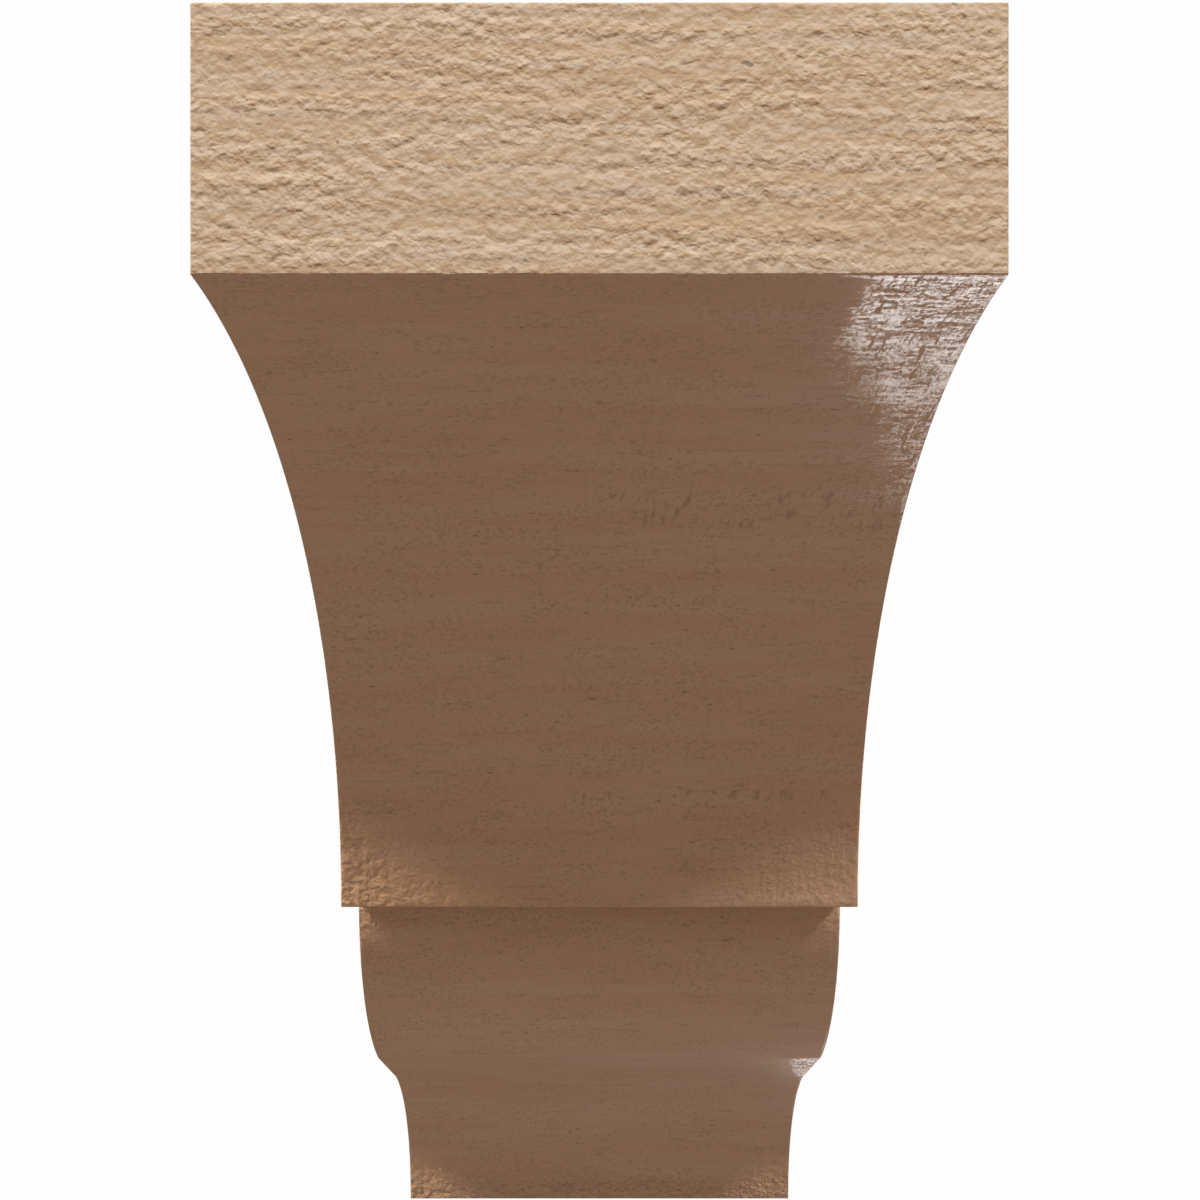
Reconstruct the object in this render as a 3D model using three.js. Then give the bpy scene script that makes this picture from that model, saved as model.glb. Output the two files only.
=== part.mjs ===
// A wall corbel cast in one piece of urethane, in the shape of a sawn timber bracket. Seen from the side it has a
// flat top, a square nose, a quarter-round cove, a step, an ogee and a flat foot, and that outline runs straight
// across its whole width. The origin is the middle of the flat back that meets the wall, which faces +Y. The nose
// points to -Y, and +Z is up.
import * as THREE from "three";

const INCH = 25.4;

// Driving dimensions, in millimetres. Depths are measured out from the wall, heights along it.
const WIDTH = 6 * INCH;
const NOSE_HEIGHT = 2 * INCH;
const COVE_RADIUS = 5 * INCH;
const STEP_DEPTH = 1 * INCH;
const OGEE_DEPTH = 4 * INCH;
const OGEE_HEIGHT = 5 * INCH;
const FOOT_DEPTH = 2 * INCH;

// The ogee starts plumb in a swelling arc, crosses over on a short straight, and ends plumb in a hollow arc.
const SWELL_RADIUS = 65;
const SWELL_SWEEP = THREE.MathUtils.degToRad(60);
const HOLLOW_RADIUS = 64;
const HOLLOW_SWEEP = THREE.MathUtils.degToRad(62);

const ARC_SEGMENTS = 48;

// Sizes that follow from the ones above.
const HEIGHT = NOSE_HEIGHT + COVE_RADIUS + OGEE_HEIGHT;
const PROJECTION = COVE_RADIUS + STEP_DEPTH + OGEE_DEPTH + FOOT_DEPTH;

// The side outline in a plane whose x is the distance out from the wall and whose y is the height.
function sideOutline() {
  const top = HEIGHT / 2;
  const coveTop = top - NOSE_HEIGHT;
  const stepLevel = coveTop - COVE_RADIUS;
  const swellFace = PROJECTION - COVE_RADIUS - STEP_DEPTH;
  const outline = new THREE.Shape();
  outline.moveTo(0, top);
  outline.lineTo(PROJECTION, top);
  outline.lineTo(PROJECTION, coveTop);
  outline.absarc(PROJECTION, stepLevel, COVE_RADIUS, Math.PI / 2, Math.PI, false);
  outline.lineTo(swellFace, stepLevel);
  outline.absarc(swellFace - SWELL_RADIUS, stepLevel, SWELL_RADIUS, 0, -SWELL_SWEEP, true);
  outline.absarc(FOOT_DEPTH + HOLLOW_RADIUS, -top, HOLLOW_RADIUS, Math.PI - HOLLOW_SWEEP, Math.PI, false);
  outline.lineTo(0, -top);
  outline.closePath();
  return outline;
}

// The outline carried across the width, then turned so that it stands up with its back to the wall.
function corbelGeometry() {
  const geometry = new THREE.ExtrudeGeometry(sideOutline(), {
    depth: WIDTH,
    steps: 1,
    bevelEnabled: false,
    curveSegments: ARC_SEGMENTS,
  });
  geometry.translate(0, 0, -WIDTH / 2);
  const outFromWall = new THREE.Vector3(0, -1, 0);
  const up = new THREE.Vector3(0, 0, 1);
  const across = new THREE.Vector3(-1, 0, 0);
  geometry.applyMatrix4(new THREE.Matrix4().makeBasis(outFromWall, up, across));
  return geometry;
}

function primedUrethane() {
  return new THREE.MeshStandardMaterial({
    name: "primed_urethane",
    color: new THREE.Color(0xc4a582),
    roughness: 0.6,
    metalness: 0,
  });
}

const corbelBody = new THREE.Mesh(corbelGeometry(), primedUrethane());
corbelBody.name = "corbel_body";

const corbel = new THREE.Group();
corbel.add(corbelBody);

export default corbel;
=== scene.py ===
import math

import bpy
from mathutils import Matrix, Vector


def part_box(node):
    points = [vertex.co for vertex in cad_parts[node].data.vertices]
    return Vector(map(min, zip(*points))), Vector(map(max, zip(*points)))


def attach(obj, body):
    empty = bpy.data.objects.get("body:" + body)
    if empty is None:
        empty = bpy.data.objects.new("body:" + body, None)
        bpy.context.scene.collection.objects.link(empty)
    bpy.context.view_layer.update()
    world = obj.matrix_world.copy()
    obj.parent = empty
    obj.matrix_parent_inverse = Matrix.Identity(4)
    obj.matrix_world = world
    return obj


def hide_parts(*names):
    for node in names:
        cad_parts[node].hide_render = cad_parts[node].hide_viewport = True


# A wall corbel cast in one piece of tan urethane, in the shape and with the texture of rough-sawn timber.
# Metres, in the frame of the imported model: the wall is at Y = 0, the nose points to -Y, and Z is up.

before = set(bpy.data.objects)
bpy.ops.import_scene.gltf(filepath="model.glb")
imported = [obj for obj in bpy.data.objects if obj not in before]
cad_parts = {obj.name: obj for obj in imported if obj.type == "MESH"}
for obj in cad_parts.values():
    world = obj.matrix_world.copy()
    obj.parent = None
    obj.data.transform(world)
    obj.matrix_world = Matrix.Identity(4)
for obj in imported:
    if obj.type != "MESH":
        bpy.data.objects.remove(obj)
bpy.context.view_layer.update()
body_low, body_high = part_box("corbel_body")

MM = 0.001
WIDTH = body_high.x - body_low.x
PROJECTION = body_high.y - body_low.y
HEIGHT = body_high.z - body_low.z

# The corbel is laid out in whole inches, twelve of them high.
INCH = HEIGHT / 12
NOSE_HEIGHT = 2 * INCH
COVE_RADIUS = 5 * INCH
STEP_DEPTH = 1 * INCH
FOOT_DEPTH = 2 * INCH
SWELL_RADIUS = 65 * MM
SWELL_SWEEP = math.radians(60)
HOLLOW_RADIUS = 64 * MM
HOLLOW_SWEEP = math.radians(62)

# What the mould leaves of a sharp corner.
ARRIS_RADIUS = 0.3 * MM
ARRIS_STEPS = 3

# Cells of the mesh: fine on the nose, which the light grazes, and coarse on the top and the back.
NOSE_CELL = 0.52 * MM
FACE_CELL = 1.6 * MM
FOOT_CELL = 2.5 * MM
HIDDEN_CELL = 7 * MM
COLUMN_CELL = 0.95 * MM
SIDE_CELL = 2.8 * MM
# The cells of a side keep this far from its outline, and triangles fill the ring between.
SIDE_MARGIN = 0.6 * SIDE_CELL
# Points closer than this are one.
WELD = 0.01 * MM

# Each pattern of the surface: the size of its blobs in mm along the grain, across it and up, then its seed,
# its detail and its roughness.
PATTERNS = {
    # Relief of the mesh.
    "pebbles": ((2.6, 2.0, 2.0), 0, 1, 0.6),
    "rolls": ((26, 5, 5), 1, 1, 0.5),
    "rows": ((110, 3, 3), 2, 1, 0.5),
    "saw_lines": ((3, 22, 22), 4, 1, 0.5),
    # Grain too fine for the mesh.
    "grains": ((2.6, 2.3, 2.3), 16, 2, 0.5),
    "mounds": ((2.0, 1.5, 1.5), 23, 1, 0.5),
    "grit": ((1.2, 0.9, 0.9), 11, 1, 0.5),
    "grooves": ((1.5, 12, 12), 51, 1, 0.5),
    "patches": ((45, 4, 4), 19, 1, 0.5),
    # Colour.
    "courses": ((90, 2.2, 2.2), 31, 1, 0.5),
    "bands": ((60, 6, 6), 12, 2, 0.5),
    "specks": ((1.1, 0.8, 0.8), 15, 1, 0.5),
    "speck_clusters": ((18, 8, 8), 14, 1, 0.5),
    "nicks": ((2.2, 0.8, 0.8), 18, 0, 0.5),
    "fibres": ((14, 1.5, 1.5), 41, 2, 0.5),
    "fibre_clusters": ((21, 2.25, 2.25), 42, 1, 0.5),
    "chatter": ((1.5, 7, 7), 61, 2, 0.5),
    "chatter_clusters": ((5, 5.5, 5.5), 62, 2, 0.5),
    # Sheen.
    "streaks": ((5.5, 1.1, 1.1), 17, 3, 0.65),
    "speckle": ((0.8, 0.9, 0.9), 27, 2, 0.6),
    "blade": ((1.1, 8, 8), 51, 2, 0.6),
    "blade_clusters": ((5, 8, 8), 52, 1, 0.5),
}
# The corbel's own seed, and how many blobs one step of a seed moves a pattern along each axis.
SEED = 7
SEED_STEPS = (3.1, 5.7, 9.3)

# The height of a pattern, from 0 to 1, at which it starts to show, and that at which it shows in full.
SHOWS = {
    "patches": (0.35, 0.65),
    "courses": (0.4, 0.65),
    "bands": (0.3, 0.7),
    "specks": (0.5, 0.7),
    "speck_clusters": (0.35, 0.6),
    "nicks": (0.8, 0.86),
    "fibre_clusters": (0.5, 0.62),
    "chatter": (0.5, 0.6),
    "chatter_clusters": (0.44, 0.56),
    "blade": (0.52, 0.64),
    "blade_clusters": (0.38, 0.52),
}

# How high each pattern stands, in mm: first in the mesh, then in the finer grain.
SMOOTH_RELIEF = {"rolls": 0.12, "pebbles": 0.05}
NOSE_RELIEF = {"rolls": 0.25, "rows": 0.4, "pebbles": 0.35}
PLUMB_RELIEF = {"rolls": 0.2, "pebbles": 0.12, "saw_lines": 0.2}
NOSE_GRAIN = {"grains": 0.64, "mounds": 0.2, "grit": 0.15}
PLUMB_GRAIN = {"grains": 0.8, "grooves": 0.2, "grit": 0.12}
SMOOTH_GRIT = 0.02
# The grain of the nose goes from this much to that much of its height from patch to patch.
PATCH_GRAIN = (1.2, 0.6)

# An edge that turns by more than this angle belongs to an arris. The relief starts at the first distance from
# an arris, and has its full height at the second.
ARRIS_ANGLE = math.radians(15)
RELIEF_STARTS = 0.2 * MM
RELIEF_IN_FULL = 1.5 * MM

# How rough the plumb faces below the nose are at the left, in the middle, at the right and along the foot,
# and the stretches in which that changes.
LEFT_ROUGHNESS = 0.8
MIDDLE_ROUGHNESS = 0.25
RIGHT_ROUGHNESS = 0.29
FOOT_ROUGHNESS = 3.0
LEFT_TO_MIDDLE = (-60 * MM, -5 * MM)
MIDDLE_TO_RIGHT = (20 * MM, 60 * MM)
FOOT_TO_HOLLOW = (-150 * MM, -138 * MM)

# Masks that the mesh carries for the material, and where each is stored.
MASKS = {"on_side": "FACE", "on_nose": "FACE", "plumb": "POINT", "satin": "POINT"}

# How squarely a face looks to the front where its roughness starts, and where it has all of it. The sides
# have a share of it.
PLUMB_FROM = 0.94
PLUMB_IN_FULL = 0.995
SIDE_ROUGHNESS = 0.7

# The primer shines where a face looks down, not where it looks sideways, and little on the ogee.
SHINE_DOWN = (0.02, 0.3)
SHINE_SIDEWAYS = (0.05, 0.3)
SHINE_HEIGHTS = (-80 * MM, -50 * MM)
OGEE_SHINE = 0.2
SHEEN = 0.78

# The share of each pattern in the dullness that breaks up the sheen, and where a place starts to be dull and
# is dull in full.
DULLNESS = {"streaks": 0.5, "speckle": 0.42, "bands": 0.06}
DULL = (0.39, 0.57)

# A fibre is a thin line along the middle height of its pattern.
FIBRE_HALF_WIDTH = 0.05
FIBRE_DISTORTION = 0.4

# Rows of marks from a chattering blade: the level of each row, half its height, and where it starts and ends
# from left to right. The marks lean, fade at the ends of a row, and stop short of the back.
CHATTER_ROWS = (
    (77.5 * MM, 3.7 * MM, 3 * MM, 72 * MM),
    (7.6 * MM, 1.6 * MM, -12 * MM, 64 * MM),
)
CHATTER_SLANT = 0.22
CHATTER_FADE = 4 * MM
CHATTER_EDGE = (0.7, 1.1)
CHATTER_TO_BACK = (-60 * MM, -30 * MM)
BLADE_SLANT = 0.12

# The primer goes from light to dark tan. Its depth is a sum, of which the last three count on the nose alone.
# The first of these three is painted shade: the undersides of the grains are darker and their upper sides
# lighter, as the key lamp from above would make them.
LIGHT_TAN = (0.585, 0.445, 0.32, 1)
DARK_TAN = (0.53, 0.365, 0.225, 1)
EVEN_DEPTH = 0.3
BAND_DEPTH = 0.4
PAINTED_SHADE_DEPTH = 0.9
COURSE_DEPTH = 0.5
NOSE_DEPTH = -0.2
# How far above and below a place its grains are compared, and the difference that makes it a full underside,
# which gets the full painted shade.
SHADE_PROBE = (0, 0, 0.25 * MM)
PAINTED_SHADE_SLOPE = 0.1

# The share of dark brown in the specks, on the nose and elsewhere, and in the lines.
DARK_BROWN = (0.34, 0.25, 0.16, 1)
SPECK_SHARE = 0.34
NOSE_SPECK_SHARE = 0.08
SPECK_CLUSTER_RANGE = (0.5, 1.4)
LINE_SHARE = 0.3
CHATTER_STRENGTH = 1.9

# The camera stands level with the corbel's middle, close in front of the nose, and looks square at the wall.
FRAME_PIXELS = 1200
FOCAL_PIXELS = 1168.65
VANISHING_POINT = (599.45, 820.89)
SENSOR = 36
CAMERA_TO_NOSE = 217.4 * MM
NEAREST = 0.01

# The lamps that light the primer. Each aims at a spot, and stands in a direction and at a distance from it.
# The left and right ones stand behind the plane of the nose, so that they only reach the corners below it.
LAMPS = {
    "key": {
        "aim": (0, -PROJECTION, (HEIGHT - NOSE_HEIGHT) / 2),
        "direction": (0, -0.5, 0.866),
        "distance": 2.5,
        "size": (0.14, 0.5),
        "strength": 413,
        "colour": (0.86, 0.95, 1.0),
    },
    "left": {
        "aim": (-0.07, -0.178, -0.02),
        "direction": (-0.575, -0.14, 0.805),
        "distance": 0.6,
        "size": (0.2, 0.1),
        "strength": 10.2,
        "colour": (1.0, 0.81, 0.66),
        "spread": math.radians(46),
    },
    "right": {
        "aim": (0.07, -0.178, -0.02),
        "direction": (0.62, -0.14, 0.77),
        "distance": 0.6,
        "size": (0.1, 0.1),
        "strength": 9.5,
        "colour": (1.0, 0.88, 0.82),
        "spread": math.radians(36),
    },
    "bounce": {
        "aim": (0, -0.1, -0.11),
        "direction": (0, -0.25, -0.39),
        "distance": math.hypot(0.25, 0.39),
        "size": (0.4, 0.4),
        "strength": 0.36,
        "colour": (0.68, 0.78, 1.0),
    },
}

# The softbox that the cove mirrors at its right: the spot that it aims at, the directions from there to the
# two ends of its inner edge, how far off it stands, how wide it is beyond that edge, and its strength.
SOFTBOX_AIM = (0.06, -0.27, 0.09)
SOFTBOX_ENDS = ((0.1175, 0.905, -0.412), (0.25, 0.057, -1.0386))
SOFTBOX_DISTANCE = 10
SOFTBOX_WIDTH = 5.0
SOFTBOX_STRENGTH = 7.6

# What surrounds the corbel, as its faces see it, as its sheen mirrors it, and as the camera sees it.
AROUND = (0.355, 0.258, 0.214, 1)
MIRRORED = (0.2, 0.11, 0.065, 1)
BACKDROP = (0.991, 0.991, 0.991, 1)
FLOOR_HALF = 30
FLOOR_LEVEL = -1.2


class Wire:
    """A number or a vector that runs between two nodes. Arithmetic on it adds Math or Vector Math nodes."""

    def __init__(self, tree, socket):
        self.tree = tree
        self.socket = socket

    def __add__(self, other):
        return self.tree.math("ADD", self, other)

    def __sub__(self, other):
        return self.tree.math("SUBTRACT", self, other)

    def __rsub__(self, other):
        return self.tree.math("SUBTRACT", other, self)

    def __mul__(self, other):
        return self.tree.math("MULTIPLY", self, other)

    def __truediv__(self, other):
        return self.tree.math("DIVIDE", self, other)

    def __rtruediv__(self, other):
        return self.tree.math("DIVIDE", other, self)

    def __neg__(self):
        return self.tree.math("MULTIPLY", self, -1)

    def __gt__(self, other):
        return self.tree.math("GREATER_THAN", self, other)

    def __lt__(self, other):
        return self.tree.math("LESS_THAN", self, other)

    __radd__ = __add__
    __rmul__ = __mul__


class Tree:
    """A node tree written as expressions, for a material, the world or Geometry Nodes."""

    def __init__(self, node_tree):
        self.node_tree = node_tree

    def node(self, kind, settings=None, values=None):
        """Adds a node: first its settings, then the value or the wire of each socket named."""
        made = self.node_tree.nodes.new(kind)
        for name, value in (settings or {}).items():
            setattr(made, name, value)
        for name, value in (values or {}).items():
            self.plug(find_socket(made.inputs, name), value)
        return made

    def plug(self, socket, value):
        if isinstance(value, Wire):
            self.node_tree.links.new(value.socket, socket)
        else:
            socket.default_value = value

    def get(self, kind, settings=None, values=None, out=0):
        """Adds a node and gives back one of its outputs."""
        return Wire(self, find_socket(self.node(kind, settings, values).outputs, out))

    def join(self, pieces):
        """The pieces of geometry as one."""
        joined = self.node("GeometryNodeJoinGeometry")
        for piece in pieces:
            self.plug(joined.inputs[0], piece)
        return Wire(self, joined.outputs[0])

    def math(self, operation, *terms):
        is_vector = any(isinstance(term, Wire) and term.socket.type == "VECTOR" for term in terms)
        if not is_vector:
            return self.get("ShaderNodeMath", {"operation": operation}, dict(enumerate(terms)))
        terms = [(term,) * 3 if isinstance(term, (int, float)) else term for term in terms]
        return self.get("ShaderNodeVectorMath", {"operation": operation}, dict(enumerate(terms)))

    def clamped(self, value):
        return self.math("MINIMUM", self.math("MAXIMUM", value, 0), 1)

    def point(self, x, y, z):
        return self.get("ShaderNodeCombineXYZ", values={"X": x, "Y": y, "Z": z})

    def split(self, vector):
        parts = self.node("ShaderNodeSeparateXYZ", values={"Vector": vector})
        return [Wire(self, parts.outputs[axis]) for axis in "XYZ"]

    def in_blobs(self, place, pattern):
        """A place counted in the blobs of a pattern."""
        size = PATTERNS[pattern][0]
        return self.math("DIVIDE", place, tuple(length * MM for length in size))

    def noise(self, place, pattern, seed=0, distortion=0.0):
        """Noise from 0 to 1 in one of the patterns, whose own seed is added to the one given."""
        _, own_seed, detail, roughness = PATTERNS[pattern]
        seed = seed + own_seed
        shift = tuple(seed * step for step in SEED_STEPS)
        if isinstance(seed, Wire):
            shift = self.point(*shift)
        return self.get(
            "ShaderNodeTexNoise",
            values={
                "Vector": self.in_blobs(place, pattern) + shift,
                "Scale": 1.0,
                "Detail": detail,
                "Roughness": roughness,
                "Distortion": distortion,
            },
        )

    def marks(self, place, pattern, start=0.0, end=1.0):
        """One of the patterns, from start where it doesn't show to end where it shows in full."""
        low, high = SHOWS[pattern]
        return self.ramp(self.noise(place, pattern), low, high, start, end)

    def mounds(self, place, pattern):
        """Low mounds side by side, each as large as a blob; 0 between them and up to 1 on top."""
        wandering = self.in_blobs(place, pattern) + self.noise(place, pattern)
        cells = self.get(
            "ShaderNodeTexVoronoi",
            values={"Vector": wandering, "Scale": 1.0, "Randomness": 1.0},
            out="Distance",
        )
        return 1 - cells

    def mix(self, factor, first, second, kind="RGBA"):
        """first where the factor is 0 and second where it is 1, for two colours or two vectors."""
        ends = {"RGBA": "Color", "VECTOR": "Vector"}[kind]
        values = {"Factor_Float": factor, "A_" + ends: first, "B_" + ends: second}
        return self.get("ShaderNodeMix", {"data_type": kind}, values, out="Result_" + ends)

    def ramp(self, value, low, high, start=0.0, end=1.0):
        """Goes smoothly from start to end while value goes from low to high."""
        return self.get(
            "ShaderNodeMapRange",
            {"interpolation_type": "SMOOTHSTEP"},
            {"Value": value, "From Min": low, "From Max": high, "To Min": start, "To Max": end},
        )


def find_socket(sockets, name):
    """A socket by its place, its identifier or its name."""
    if isinstance(name, int):
        return sockets[name]
    for socket in sockets:
        if socket.identifier == name:
            return socket
    return sockets[name]


def layered(patterns, heights):
    """The patterns on top of one another, each times its height."""
    layers = [patterns[name] * height for name, height in heights.items()]
    return sum(layers[1:], layers[0])


class Outline:
    """The corbel's side outline as one closed curve. X is the distance from the wall, and Y the height."""

    def __init__(self, tree):
        self.tree = tree
        self.pieces = []

    def line(self, start, end, cell):
        straight = self.tree.get(
            "GeometryNodeCurvePrimitiveLine",
            values={"Start": self.tree.point(*start, 0), "End": self.tree.point(*end, 0)},
        )
        self.pieces.append(
            self.tree.get(
                "GeometryNodeResampleCurve",
                {"mode": "LENGTH"},
                {"Curve": straight, "Length": cell},
            )
        )

    def arc(self, centre, radius, start, sweep, steps):
        curve = self.tree.get(
            "GeometryNodeCurveArc",
            values={"Resolution": steps, "Radius": radius, "Start Angle": start, "Sweep Angle": sweep},
        )
        self.pieces.append(
            self.tree.get(
                "GeometryNodeTransform",
                values={"Geometry": curve, "Translation": self.tree.point(*centre, 0)},
            )
        )

    def arris(self, centre, radius, start):
        """A rounded corner that turns a quarter circle clockwise from the angle given."""
        self.arc(centre, radius, start, -math.pi / 2, ARRIS_STEPS + 1)

    def closed(self):
        wire = self.tree.get("GeometryNodeCurveToMesh", values={"Curve": self.tree.join(self.pieces)})
        welded = self.tree.get("GeometryNodeMergeByDistance", values={"Geometry": wire, "Distance": WELD})
        return self.tree.get("GeometryNodeMeshToCurve", values={"Mesh": welded})


# The inputs of the corbel's node tree, with the kind of socket and the value of each.
CORBEL_INPUTS = {
    "Width": ("NodeSocketFloat", WIDTH),
    "Projection": ("NodeSocketFloat", PROJECTION),
    "Height": ("NodeSocketFloat", HEIGHT),
    "Nose Height": ("NodeSocketFloat", NOSE_HEIGHT),
    "Cove Radius": ("NodeSocketFloat", COVE_RADIUS),
    "Step Depth": ("NodeSocketFloat", STEP_DEPTH),
    "Foot Depth": ("NodeSocketFloat", FOOT_DEPTH),
    "Swell Radius": ("NodeSocketFloat", SWELL_RADIUS),
    "Swell Sweep": ("NodeSocketFloat", SWELL_SWEEP),
    "Hollow Radius": ("NodeSocketFloat", HOLLOW_RADIUS),
    "Hollow Sweep": ("NodeSocketFloat", HOLLOW_SWEEP),
    "Arris Radius": ("NodeSocketFloat", ARRIS_RADIUS),
    "Seed": ("NodeSocketFloat", SEED),
    "Material": ("NodeSocketMaterial", None),
}


def corbel_outline(tree, sizes):
    """The outline clockwise from the back's top: top, nose, cove, step, swell, hollow, foot and back."""
    arris = sizes["Arris Radius"]
    projection = sizes["Projection"]
    cove_radius = sizes["Cove Radius"]
    swell_radius = sizes["Swell Radius"]
    swell_sweep = sizes["Swell Sweep"]
    hollow_radius = sizes["Hollow Radius"]
    hollow_sweep = sizes["Hollow Sweep"]
    foot_depth = sizes["Foot Depth"]
    top = sizes["Height"] / 2
    bottom = -top
    cove_top = top - sizes["Nose Height"]
    step_level = cove_top - cove_radius
    step_face = projection - cove_radius
    swell_face = step_face - sizes["Step Depth"]
    swell_end = (
        swell_face - swell_radius + swell_radius * tree.math("COSINE", swell_sweep),
        step_level - swell_radius * tree.math("SINE", swell_sweep),
    )
    hollow_start = (
        foot_depth + hollow_radius - hollow_radius * tree.math("COSINE", hollow_sweep),
        bottom + hollow_radius * tree.math("SINE", hollow_sweep),
    )
    cove_trim = tree.math("ARCSINE", arris / cove_radius)
    hollow_trim = tree.math("ARCSINE", arris / hollow_radius)
    cove_steps = round(COVE_RADIUS * math.pi / 2 / FACE_CELL)
    swell_steps = round(SWELL_RADIUS * SWELL_SWEEP / FACE_CELL)
    hollow_steps = round(HOLLOW_RADIUS * HOLLOW_SWEEP / FACE_CELL)

    outline = Outline(tree)
    outline.line((arris, top), (projection - arris, top), HIDDEN_CELL)
    outline.arris((projection - arris, top - arris), arris, math.pi / 2)
    outline.line((projection, top - arris), (projection, cove_top + arris), NOSE_CELL)
    outline.arris((projection - arris, cove_top + arris), arris, 0)
    outline.arc(
        (projection, step_level),
        cove_radius,
        math.pi / 2 + cove_trim,
        math.pi / 2 - 2 * cove_trim,
        cove_steps,
    )
    outline.arris((step_face - arris, step_level + arris), arris, 0)
    outline.line((step_face - arris, step_level), (swell_face, step_level), FACE_CELL)
    outline.arc((swell_face - swell_radius, step_level), swell_radius, 0, -swell_sweep, swell_steps)
    outline.line(swell_end, hollow_start, FACE_CELL)
    outline.arc(
        (foot_depth + hollow_radius, bottom),
        hollow_radius,
        math.pi - hollow_sweep,
        hollow_sweep - hollow_trim,
        hollow_steps,
    )
    outline.arris((foot_depth - arris, bottom + arris), arris, 0)
    outline.line((foot_depth - arris, bottom), (arris, bottom), FOOT_CELL)
    outline.arris((arris, bottom + arris), arris, -math.pi / 2)
    outline.line((0, bottom + arris), (0, top - arris), HIDDEN_CELL)
    outline.arris((arris, top - arris), arris, math.pi)
    return outline.closed()


def outward(tree):
    """The outline's outward normal at each of its points."""
    along = tree.split(tree.get("GeometryNodeInputTangent"))
    return tree.point(-along[1], along[0], 0)


def front_and_back(tree, sizes, outline):
    """The outline carried across the width as a band of cells, rounded over towards both sides."""
    count = tree.get("GeometryNodeAttributeDomainSize", {"component": "CURVE"}, {"Geometry": outline})
    columns = 2 * ARRIS_STEPS + round((WIDTH - 2 * ARRIS_RADIUS) / COLUMN_CELL)
    grid = tree.get(
        "GeometryNodeMeshGrid",
        values={"Size X": columns, "Size Y": count, "Vertices X": columns + 1, "Vertices Y": count + 1},
    )
    across, along, _ = tree.split(tree.get("GeometryNodeInputPosition"))
    row = tree.math("ROUND", along + count / 2)
    row = tree.math("MODULO", row, count)

    def at_row(value):
        return tree.get(
            "GeometryNodeSampleIndex",
            {"data_type": "FLOAT_VECTOR", "domain": "POINT"},
            {"Geometry": outline, "Value": value, "Index": row},
        )

    place = at_row(tree.get("GeometryNodeInputPosition"))
    normal = at_row(outward(tree))
    half_columns = columns / 2
    flat_half = sizes["Width"] / 2 - sizes["Arris Radius"]
    side = tree.math("SIGN", across)
    from_side = half_columns - tree.math("ABSOLUTE", across)
    turn = tree.math("MINIMUM", from_side / ARRIS_STEPS, 1) * (math.pi / 2)
    flat = tree.math("MINIMUM", tree.math("ABSOLUTE", across) / (half_columns - ARRIS_STEPS), 1) * flat_half
    x = side * (flat + sizes["Arris Radius"] * tree.math("COSINE", turn))
    inset = sizes["Arris Radius"] * (1 - tree.math("SINE", turn))
    out, up, _ = tree.split(place - normal * inset)
    band = tree.get("GeometryNodeSetPosition", values={"Geometry": grid, "Position": tree.point(x, -out, up)})
    return tree.get("GeometryNodeFlipFaces", values={"Mesh": band})


def side_panel(tree, sizes, outline):
    """One flat side, as a regular grid with a ring of triangles between it and the outline."""
    position = tree.get("GeometryNodeInputPosition")
    rim = tree.get(
        "GeometryNodeSetPosition",
        values={"Geometry": outline, "Offset": outward(tree) * -sizes["Arris Radius"]},
    )
    sheet = tree.get("GeometryNodeFillCurve", {"mode": "NGONS"}, {"Curve": rim})
    rim_wire = tree.get("GeometryNodeCurveToMesh", values={"Curve": rim})
    grid = tree.get(
        "GeometryNodeMeshGrid",
        values={
            "Size X": sizes["Projection"],
            "Size Y": sizes["Height"],
            "Vertices X": round(PROJECTION / SIDE_CELL) + 1,
            "Vertices Y": round(HEIGHT / SIDE_CELL) + 1,
        },
    )
    grid = tree.get(
        "GeometryNodeTransform",
        values={"Geometry": grid, "Translation": tree.point(sizes["Projection"] / 2, 0, 0)},
    )
    # A ray that comes down on a place from above meets the sheet only where the place is inside the outline.
    is_inside = tree.get(
        "GeometryNodeRaycast",
        values={
            "Target Geometry": sheet,
            "Source Position": position + (0, 0, 1),
            "Ray Direction": (0, 0, -1),
            "Ray Length": 2,
        },
    )
    to_rim = tree.get(
        "GeometryNodeProximity",
        {"target_element": "EDGES"},
        {"Target": rim_wire, "Source Position": position},
        out="Distance",
    )
    kept = is_inside * (to_rim > SIDE_MARGIN)
    grid = tree.get("GeometryNodeDeleteGeometry", values={"Geometry": grid, "Selection": kept < 0.5})
    edge_faces = tree.get("GeometryNodeInputMeshEdgeNeighbors")
    point_faces = tree.get("GeometryNodeInputMeshVertexNeighbors", out="Face Count")
    grid = tree.get(
        "GeometryNodeDeleteGeometry",
        {"domain": "EDGE"},
        {"Geometry": grid, "Selection": edge_faces < 0.5},
    )
    grid = tree.get("GeometryNodeDeleteGeometry", values={"Geometry": grid, "Selection": point_faces < 0.5})
    border = tree.get(
        "GeometryNodeMeshToCurve",
        values={"Mesh": grid, "Selection": (edge_faces > 0.5) * (edge_faces < 1.5)},
    )
    ring = tree.get("GeometryNodeFillCurve", {"mode": "TRIANGLES"}, {"Curve": tree.join((rim, border))})
    return tree.join((grid, ring))


def stood_up(tree, sizes, panel, side):
    """The side panel in its place on the corbel, side -1 at the left and 1 at the right."""
    out, up, _ = tree.split(tree.get("GeometryNodeInputPosition"))
    placed = tree.get(
        "GeometryNodeSetPosition",
        values={"Geometry": panel, "Position": tree.point(sizes["Width"] / 2 * side, -out, up)},
    )
    if side < 0:
        return placed
    return tree.get("GeometryNodeFlipFaces", values={"Mesh": placed})


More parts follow.
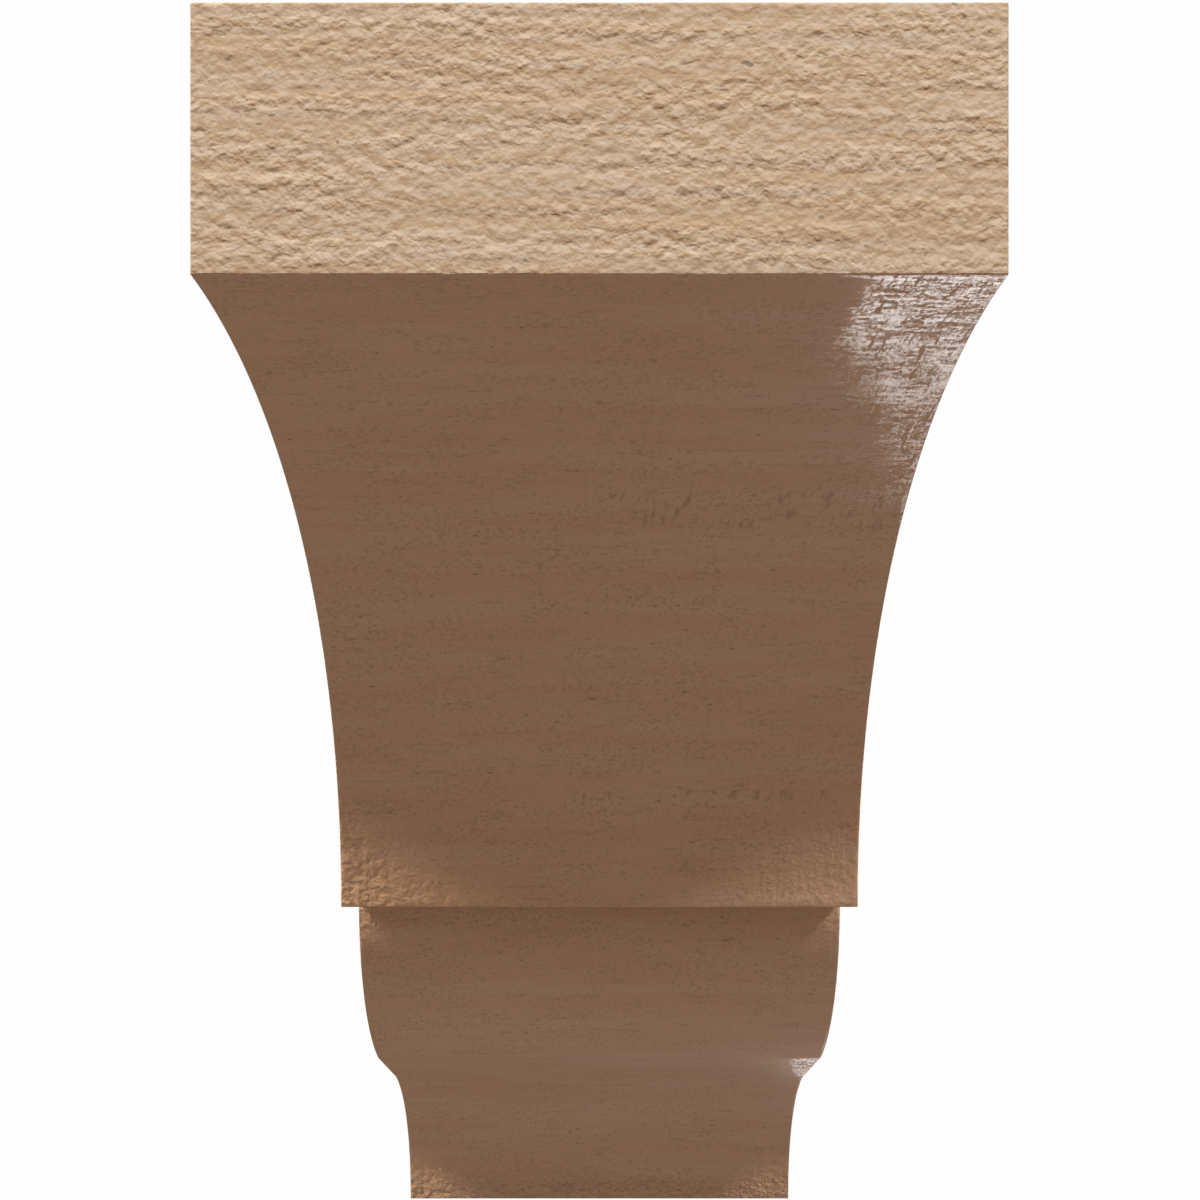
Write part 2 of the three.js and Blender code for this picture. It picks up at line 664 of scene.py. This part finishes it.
def along_grain(tree, place, on_side):
    """Turns a place so that its X runs along the grain, which runs out from the wall on the two sides."""
    x, y, z = tree.split(place)
    return tree.mix(on_side, tree.point(x, y, z), tree.point(y, x, z), "VECTOR")


def how_rough(tree, place):
    """How rough the plumb faces below the nose are, from the left to the right and along the foot."""
    x, _, z = tree.split(place)
    across = tree.ramp(x, *LEFT_TO_MIDDLE, LEFT_ROUGHNESS, MIDDLE_ROUGHNESS)
    across = across + tree.ramp(x, *MIDDLE_TO_RIGHT, 0.0, RIGHT_ROUGHNESS - MIDDLE_ROUGHNESS)
    foot = tree.ramp(z, *FOOT_TO_HOLLOW, FOOT_ROUGHNESS, MIDDLE_ROUGHNESS)
    return tree.math("MAXIMUM", across, foot)


def sawn_relief(tree, seed, on_side, on_nose, plumb):
    """The height of the sawn surface above the smooth one, in metres. It is rough where it stands plumb."""
    place = along_grain(tree, tree.get("GeometryNodeInputPosition"), on_side)
    names = ("pebbles", "rolls", "rows", "saw_lines")
    patterns = {name: tree.noise(place, name, seed) - 0.5 for name in names}
    smooth = layered(patterns, SMOOTH_RELIEF)
    nose = layered(patterns, NOSE_RELIEF)
    others = layered(patterns, PLUMB_RELIEF) * how_rough(tree, place)
    rough = others + on_nose * (nose - others)
    return (smooth + plumb * (rough - smooth)) * MM


def masks(tree, normal):
    """Which faces are on a side or the nose, how plumb a place is, and how much the primer shines there."""
    sideways, back, up = tree.split(normal)
    _, depth, height = tree.split(tree.get("GeometryNodeInputPosition"))
    on_side = tree.math("ABSOLUTE", sideways) > 0.5
    on_nose = (back < -0.5) * (depth < FACE_CELL - PROJECTION)
    plumb = tree.math("MAXIMUM", tree.ramp(-back, PLUMB_FROM, PLUMB_IN_FULL), on_side * SIDE_ROUGHNESS)
    satin = (
        (1 - plumb)
        * tree.ramp(-up, *SHINE_DOWN)
        * tree.ramp(tree.math("ABSOLUTE", sideways), *SHINE_SIDEWAYS, 1.0, 0.0)
        * tree.ramp(height, *SHINE_HEIGHTS, OGEE_SHINE, 1.0)
    )
    return {"on_side": on_side, "on_nose": on_nose, "plumb": plumb, "satin": satin}


def body_tree():
    """The corbel's node tree: the band and both sides welded into one body, then given its relief."""
    group = bpy.data.node_groups.new("sawn corbel", "GeometryNodeTree")
    group.interface.new_socket("Geometry", in_out="OUTPUT", socket_type="NodeSocketGeometry")
    for name, (kind, _) in CORBEL_INPUTS.items():
        group.interface.new_socket(name, in_out="INPUT", socket_type=kind)
    tree = Tree(group)
    given = tree.node("NodeGroupInput")
    sizes = {name: Wire(tree, given.outputs[name]) for name in CORBEL_INPUTS}

    outline = corbel_outline(tree, sizes)
    panel = side_panel(tree, sizes, outline)
    band = front_and_back(tree, sizes, outline)
    left = stood_up(tree, sizes, panel, -1)
    right = stood_up(tree, sizes, panel, 1)
    body = tree.get(
        "GeometryNodeMergeByDistance",
        values={"Geometry": tree.join((band, left, right)), "Distance": WELD},
    )

    arris_edges = tree.get(
        "GeometryNodeSeparateGeometry",
        {"domain": "EDGE"},
        {"Geometry": body, "Selection": tree.get("GeometryNodeInputMeshEdgeAngle") > ARRIS_ANGLE},
    )
    to_arris = tree.get(
        "GeometryNodeProximity",
        {"target_element": "EDGES"},
        {"Target": arris_edges, "Source Position": tree.get("GeometryNodeInputPosition")},
        out="Distance",
    )
    normal = tree.get("GeometryNodeInputNormal")
    found = masks(tree, normal)
    for name, domain in MASKS.items():
        body = tree.get(
            "GeometryNodeStoreNamedAttribute",
            {"data_type": "FLOAT", "domain": domain},
            {"Geometry": body, "Name": name, "Value": found[name]},
        )
    relief = sawn_relief(tree, sizes["Seed"], found["on_side"], found["on_nose"], found["plumb"])
    relief = relief * tree.ramp(to_arris, RELIEF_STARTS, RELIEF_IN_FULL)
    body = tree.get("GeometryNodeSetPosition", values={"Geometry": body, "Offset": normal * relief})
    body = tree.get("GeometryNodeSetShadeSmooth", values={"Geometry": body})
    body = tree.get("GeometryNodeRealizeInstances", values={"Geometry": body})
    body = tree.get("GeometryNodeSetMaterial", values={"Geometry": body, "Material": sizes["Material"]})
    tree.node("NodeGroupOutput", values={"Geometry": body})
    return group


def made_by(group, name, inputs):
    """A plain mesh object with what the node tree gives for these inputs."""
    holder = bpy.data.objects.new(name, bpy.data.meshes.new(name))
    bpy.context.scene.collection.objects.link(holder)
    modifier = holder.modifiers.new("made", "NODES")
    modifier.node_group = group
    for socket in group.interface.items_tree:
        if socket.in_out == "INPUT":
            modifier[socket.identifier] = inputs[socket.name]
    evaluated = holder.evaluated_get(bpy.context.evaluated_depsgraph_get())
    mesh = bpy.data.meshes.new_from_object(evaluated)
    holder.modifiers.remove(modifier)
    holder.data = mesh
    mesh.name = name
    return holder


def fibres(tree, place):
    """Thin lines that wander along the grain and come and go; 1 on a line and 0 beside it."""
    wander = tree.noise(place, "fibres", distortion=FIBRE_DISTORTION)
    line = tree.ramp(tree.math("ABSOLUTE", wander - 0.5), 0.0, FIBRE_HALF_WIDTH, 1.0, 0.0)
    return line * tree.marks(place, "fibre_clusters")


def chatter_marks(tree, place):
    """Two rows of short slanted strokes across the cove, where the blade chattered."""
    x, y, z = tree.split(place)
    strokes = tree.marks(tree.point(x - CHATTER_SLANT * z, y, z), "chatter")
    rows = 0
    for height, half_height, start, end in CHATTER_ROWS:
        inner, outer = (half_height * edge for edge in CHATTER_EDGE)
        in_row = tree.ramp(tree.math("ABSOLUTE", z - height), inner, outer, 1.0, 0.0)
        from_left = tree.ramp(x, start - CHATTER_FADE, start)
        to_right = tree.ramp(x, end, end + CHATTER_FADE, 1.0, 0.0)
        rows = in_row * from_left * to_right + rows
    in_front = tree.ramp(y, *CHATTER_TO_BACK, 1.0, 0.0)
    return strokes * tree.marks(place, "chatter_clusters") * rows * in_front


def blade_marks(tree, place):
    """Slanted dull marks that follow the cove's curve, as a blade leaves them."""
    x, y, z = tree.split(place)
    slanted = tree.point(x + BLADE_SLANT * y, y, z)
    return tree.marks(slanted, "blade") * tree.marks(place, "blade_clusters")


def grain_normal(tree, place, on_nose, plumb):
    """The normal of the grain that is too fine for the mesh."""
    patterns = {name: tree.noise(place, name) - 0.5 for name in ("grains", "grit", "grooves")}
    patterns["mounds"] = tree.mounds(place, "mounds")
    nose = layered(patterns, NOSE_GRAIN) * tree.marks(place, "patches", *PATCH_GRAIN)
    others = layered(patterns, PLUMB_GRAIN) * how_rough(tree, place)
    rough = others + on_nose * (nose - others)
    height = patterns["grit"] * SMOOTH_GRIT + plumb * rough
    return tree.get("ShaderNodeBump", values={"Strength": 1.0, "Distance": MM, "Height": height})


def primer_colour(tree, place, on_nose, bands):
    """Tan in faint courses and bands, with painted shade on the undersides of the grains of the nose, and dark
    specks, nicks, fibres and chatter marks.
    """
    # The grains just above a place and just below it tell whether it is on a grain's upper side or underside.
    # Undersides are painted darker and upper sides lighter, as painted shade and light from above.
    slope = tree.noise(place + SHADE_PROBE, "grains") - tree.noise(place - SHADE_PROBE, "grains")
    painted_underside_shade = tree.ramp(slope, -PAINTED_SHADE_SLOPE, PAINTED_SHADE_SLOPE) - 0.5
    # On the nose the tan is deepened by the painted shade of the grains' undersides, by the courses and by an
    # even offset.
    nose_depth_with_painted_shade = painted_underside_shade * PAINTED_SHADE_DEPTH + tree.marks(place, "courses") * COURSE_DEPTH + NOSE_DEPTH
    depth = EVEN_DEPTH + bands * BAND_DEPTH + on_nose * nose_depth_with_painted_shade
    tan = tree.mix(tree.clamped(depth), LIGHT_TAN, DARK_TAN)
    specks = tree.marks(place, "specks") * tree.marks(place, "speck_clusters", *SPECK_CLUSTER_RANGE)
    lines = tree.math("MAXIMUM", fibres(tree, place), chatter_marks(tree, place) * CHATTER_STRENGTH)
    marks = (
        specks * (SPECK_SHARE + (NOSE_SPECK_SHARE - SPECK_SHARE) * on_nose)
        + lines * (LINE_SHARE * (1 - on_nose))
        + tree.marks(place, "nicks")
    )
    return tree.mix(tree.clamped(marks), tan, DARK_BROWN)


def primer_sheen(tree, place, satin, bands):
    """The primer's sheen, broken up by dull streaks, specks and blade marks."""
    patterns = {name: tree.noise(place, name) for name in ("streaks", "speckle")}
    patterns["bands"] = bands
    dull = tree.ramp(layered(patterns, DULLNESS), *DULL)
    dull = tree.math("MAXIMUM", dull, blade_marks(tree, place))
    return SHEEN * (1 - dull) * satin


def primed_urethane():
    """Tan factory primer over moulded urethane: satin, with a fine grain that runs across the corbel."""
    material = bpy.data.materials.new("primed_urethane")
    material.use_nodes = True
    material.node_tree.nodes.clear()
    tree = Tree(material.node_tree)
    on_side, on_nose, plumb, satin = (
        tree.get("ShaderNodeAttribute", {"attribute_name": name}, out="Fac") for name in MASKS
    )
    place = along_grain(tree, tree.get("ShaderNodeTexCoord", out="Object"), on_side)
    bands = tree.marks(place, "bands")
    shader = tree.get(
        "ShaderNodeBsdfPrincipled",
        values={
            "Base Color": primer_colour(tree, place, on_nose, bands),
            "Roughness": 0.6,
            "Specular IOR Level": 0.02,
            "Coat Weight": primer_sheen(tree, place, satin, bands),
            "Coat Roughness": 0.11,
            "Normal": grain_normal(tree, place, on_nose, plumb),
        },
    )
    tree.node("ShaderNodeOutputMaterial", values={"Surface": shader})
    return material


def add_camera():
    """The camera, shifted so that the lines towards the wall run to the vanishing point."""
    camera = bpy.data.cameras.new("camera")
    camera.sensor_width = SENSOR
    camera.lens = SENSOR * FOCAL_PIXELS / FRAME_PIXELS
    camera.shift_x = 0.5 - VANISHING_POINT[0] / FRAME_PIXELS
    camera.shift_y = VANISHING_POINT[1] / FRAME_PIXELS - 0.5
    camera.clip_start = NEAREST
    stand = bpy.data.objects.new("camera", camera)
    stand.location = (0, -PROJECTION - CAMERA_TO_NOSE, 0)
    stand.rotation_euler = (math.pi / 2, 0, 0)
    bpy.context.scene.collection.objects.link(stand)
    bpy.context.scene.camera = stand


def add_light(name, place, aim, size, strength, colour, spread=math.pi, across=(1, 0, 0), mirrored=False):
    """A rectangular soft light whose first side runs along across. A mirrored one only shows in the sheen.

    Its strength is the radiance of its face, as long as its spread leaves the beam whole.
    """
    light = bpy.data.lights.new(name, "AREA")
    light.spread = spread
    light.shape = "RECTANGLE"
    light.size, light.size_y = size
    light.energy = strength * math.pi * size[0] * size[1]
    light.color = colour
    box = bpy.data.objects.new(name, light)
    box.location = place
    away = (place - aim).normalized()
    first = Vector(across)
    first = (first - away * first.dot(away)).normalized()
    second = away.cross(first)
    box.rotation_mode = "QUATERNION"
    box.rotation_quaternion = Matrix((first, second, away)).transposed().to_quaternion()
    box.visible_camera = False
    box.visible_diffuse = not mirrored
    box.visible_glossy = mirrored
    bpy.context.scene.collection.objects.link(box)


def towards(direction, distance, start):
    """The place that lies this far from the start in the direction given."""
    return start + Vector(direction).normalized() * distance


def add_lamp(name, aim, direction, distance, **kind):
    """One of the lamps, with its size, its strength, its colour and its spread."""
    aim = Vector(aim)
    add_light(name, towards(direction, distance, aim), aim, **kind)


def add_softbox():
    """The softbox, whose inner edge joins its two ends, and whose face reaches out to the right from there."""
    aim = Vector(SOFTBOX_AIM)
    start, end = (towards(direction, SOFTBOX_DISTANCE, aim) for direction in SOFTBOX_ENDS)
    edge = end - start
    middle = (start + end) / 2
    across = edge.cross(middle - aim).normalized()
    if across.x < 0:
        across = -across
    centre = middle + across * SOFTBOX_WIDTH / 2
    size = (SOFTBOX_WIDTH, edge.length)
    add_light("gloss", centre, aim, size, SOFTBOX_STRENGTH, (1, 1, 1), across=across, mirrored=True)


def add_surroundings():
    """A white backdrop for the camera, and a dim warm light from all round for everything else."""
    world = bpy.data.worlds.new("studio")
    world.use_nodes = True
    world.node_tree.nodes.clear()
    tree = Tree(world.node_tree)
    rays = tree.node("ShaderNodeLightPath")
    colour = tree.mix(Wire(tree, rays.outputs["Is Glossy Ray"]), AROUND, MIRRORED)
    colour = tree.mix(Wire(tree, rays.outputs["Is Camera Ray"]), colour, BACKDROP)
    surface = tree.get("ShaderNodeBackground", values={"Color": colour, "Strength": 1.0})
    tree.node("ShaderNodeOutputWorld", values={"Surface": surface})
    bpy.context.scene.world = world
    bpy.context.scene.view_settings.view_transform = "Standard"


def add_floor():
    """A wide pale floor, which shows to the camera alone, so that it colours nothing on the corbel."""
    mesh = bpy.data.meshes.new("floor")
    ways = ((-1, -1), (1, -1), (1, 1), (-1, 1))
    corners = [(x * FLOOR_HALF, y * FLOOR_HALF, FLOOR_LEVEL) for x, y in ways]
    mesh.from_pydata(corners, [], [(0, 1, 2, 3)])
    material = bpy.data.materials.new("pale_floor")
    material.use_nodes = True
    material.node_tree.nodes.clear()
    tree = Tree(material.node_tree)
    glow = tree.get("ShaderNodeEmission", values={"Color": BACKDROP, "Strength": 1.0})
    tree.node("ShaderNodeOutputMaterial", values={"Surface": glow})
    mesh.materials.append(material)
    floor = bpy.data.objects.new("floor", mesh)
    floor.visible_diffuse = False
    floor.visible_glossy = False
    floor.visible_shadow = False
    bpy.context.scene.collection.objects.link(floor)


inputs = {name: value for name, (_, value) in CORBEL_INPUTS.items()}
inputs["Material"] = primed_urethane()
corbel = made_by(body_tree(), "sawn_corbel", inputs)
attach(corbel, "root")
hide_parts("corbel_body")

add_camera()
for name, lamp in LAMPS.items():
    add_lamp(name, **lamp)
add_softbox()
add_surroundings()
add_floor()
